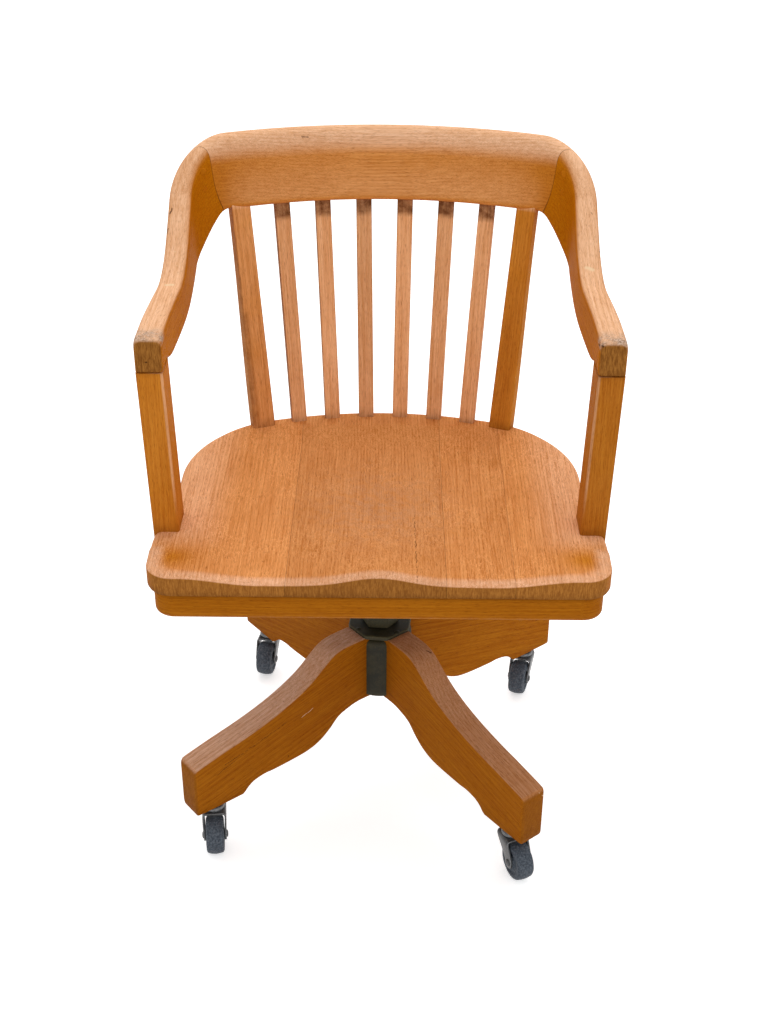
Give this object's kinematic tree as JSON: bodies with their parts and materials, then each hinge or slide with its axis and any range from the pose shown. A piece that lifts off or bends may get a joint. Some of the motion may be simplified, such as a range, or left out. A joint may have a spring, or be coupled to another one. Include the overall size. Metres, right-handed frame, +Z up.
{
  "type": "oak swivel desk chair",
  "caption": "Oak office armchair with a curved crest rail and arms, slatted back, saddled seat, tilting iron mechanism and a four-star pedestal on casters.",
  "frame": {"origin": "on the floor, under the swivel axis", "axes": "+Z up along the swivel axis, -Y the way a sitter faces, +X to the right in the front view"},
  "size_m": [0.547, 0.5334, 0.827],
  "materials": {
    "oak_seat": "worn varnish",
    "oak_back": "varnished, worn",
    "oak_arms": "varnished, worn",
    "oak_apron": "varnished",
    "oak_legs": "varnished, worn",
    "dark_iron": "black enamel, worn",
    "bare_steel": "dull, oiled",
    "caster_steel": "black, stamped",
    "caster_rubber": "hard, scuffed"
  },
  "bodies": {
    "pedestal": {"hub": "dark_iron", "hub_screws": "bare_steel", "front_left_leg": "oak_legs", "front_right_leg": "oak_legs", "rear_left_leg": "oak_legs", "rear_right_leg": "oak_legs", "caster_sockets": "bare_steel"},
    "height_spindle": {"spindle": "bare_steel"},
    "height_adjuster": {"height_nut": "dark_iron"},
    "swivel_housing": {"tilt_housing": "dark_iron", "tension_spring": "bare_steel"},
    "seat": {"seat_board_1": "oak_seat", "seat_board_2": "oak_seat", "seat_board_3": "oak_seat", "seat_board_4": "oak_seat", "front_apron": "oak_apron", "left_apron": "oak_apron", "right_apron": "oak_apron", "back_apron": "oak_apron", "left_arm": "oak_arms", "right_arm": "oak_arms", "left_arm_post": "oak_arms", "right_arm_post": "oak_arms", "left_back_stile": "oak_back", "right_back_stile": "oak_back", "back_slat_1": "oak_back", "back_slat_2": "oak_back", "back_slat_3": "oak_back", "back_slat_4": "oak_back", "back_slat_5": "oak_back", "back_slat_6": "oak_back", "left_seat_iron": "dark_iron", "right_seat_iron": "dark_iron", "apron_screws": "bare_steel", "crest_rail": "oak_back", "bow_dowels": "oak_back", "iron_crossbar": "dark_iron", "seat_iron_screws": "bare_steel", "tilt_shaft": "bare_steel", "tension_bolt": "bare_steel"},
    "spring_seat": {"spring_washer": "bare_steel"},
    "tension_adjuster": {"tension_knob": "dark_iron"},
    "front_left_caster": {"front_left_fork": "caster_steel", "front_left_axle": "bare_steel"},
    "front_left_caster_wheel": {"front_left_wheel": "caster_rubber"},
    "front_right_caster": {"front_right_fork": "caster_steel", "front_right_axle": "bare_steel"},
    "front_right_caster_wheel": {"front_right_wheel": "caster_rubber"},
    "rear_left_caster": {"rear_left_fork": "caster_steel", "rear_left_axle": "bare_steel"},
    "rear_left_caster_wheel": {"rear_left_wheel": "caster_rubber"},
    "rear_right_caster": {"rear_right_fork": "caster_steel", "rear_right_axle": "bare_steel"},
    "rear_right_caster_wheel": {"rear_right_wheel": "caster_rubber"}
  },
  "joints": [
    {"name": "height", "type": "slide", "parent": "pedestal", "child": "height_spindle", "axis": [0, 0, 1], "range_m": [-0.05, 0.05]},
    {"name": "height_nut_turn", "type": "hinge", "parent": "pedestal", "child": "height_adjuster", "pos_m": [0, 0, 0.2445], "axis": [0, 0, 1], "range_deg": [-3010, 3010]},
    {"name": "seat_swivel", "type": "hinge", "parent": "height_spindle", "child": "swivel_housing", "pos_m": [0, 0, 0.347], "axis": [0, 0, 1], "continuous": true},
    {"name": "seat_tilt", "type": "hinge", "parent": "swivel_housing", "child": "seat", "pos_m": [0, 0, 0.398], "axis": [-1, 0, 0], "range_deg": [0, 15], "stiffness_Nm_per_rad": 80, "springref_deg": -6.88, "deforming": ["tension_spring"]},
    {"name": "tension_travel", "type": "slide", "parent": "seat", "child": "spring_seat", "axis": [0, 0, 1], "range_m": [-0.008, 0.002], "deforming": ["tension_spring"]},
    {"name": "tension_knob_turn", "type": "hinge", "parent": "spring_seat", "child": "tension_adjuster", "pos_m": [0, -0.062, 0.308], "axis": [0, 0, 1], "range_deg": [-1440, 360]},
    {"name": "front_left_swivel", "type": "hinge", "parent": "pedestal", "child": "front_left_caster", "pos_m": [-0.21384, -0.17132, 0.085], "axis": [0, 0, 1], "continuous": true},
    {"name": "front_left_wheel_spin", "type": "hinge", "parent": "front_left_caster", "child": "front_left_caster_wheel", "pos_m": [-0.21179, -0.19081, 0.0254], "axis": [0.9945, 0.1045, 0], "continuous": true},
    {"name": "front_right_swivel", "type": "hinge", "parent": "pedestal", "child": "front_right_caster", "pos_m": [0.17132, -0.21384, 0.085], "axis": [0, 0, 1], "continuous": true},
    {"name": "front_right_wheel_spin", "type": "hinge", "parent": "front_right_caster", "child": "front_right_caster_wheel", "pos_m": [0.17929, -0.23174, 0.0254], "axis": [0.9135, 0.4067, 0], "continuous": true},
    {"name": "rear_left_swivel", "type": "hinge", "parent": "pedestal", "child": "rear_left_caster", "pos_m": [-0.17132, 0.21384, 0.085], "axis": [0, 0, 1], "continuous": true},
    {"name": "rear_left_wheel_spin", "type": "hinge", "parent": "rear_left_caster", "child": "rear_left_caster_wheel", "pos_m": [-0.17472, 0.19454, 0.0254], "axis": [0.9848, -0.1736, 0], "continuous": true},
    {"name": "rear_right_swivel", "type": "hinge", "parent": "pedestal", "child": "rear_right_caster", "pos_m": [0.21384, 0.17132, 0.085], "axis": [0, 0, 1], "continuous": true},
    {"name": "rear_right_wheel_spin", "type": "hinge", "parent": "rear_right_caster", "child": "rear_right_caster_wheel", "pos_m": [0.20778, 0.15268, 0.0254], "axis": [0.9511, -0.309, 0], "continuous": true}
  ],
  "couplings": [
    {"joint": "height_nut_turn", "follows": "height", "rad_per_m": -1047.2},
    {"joint": "tension_travel", "follows": "tension_knob_turn", "m_per_rad": 0.00031831}
  ]
}
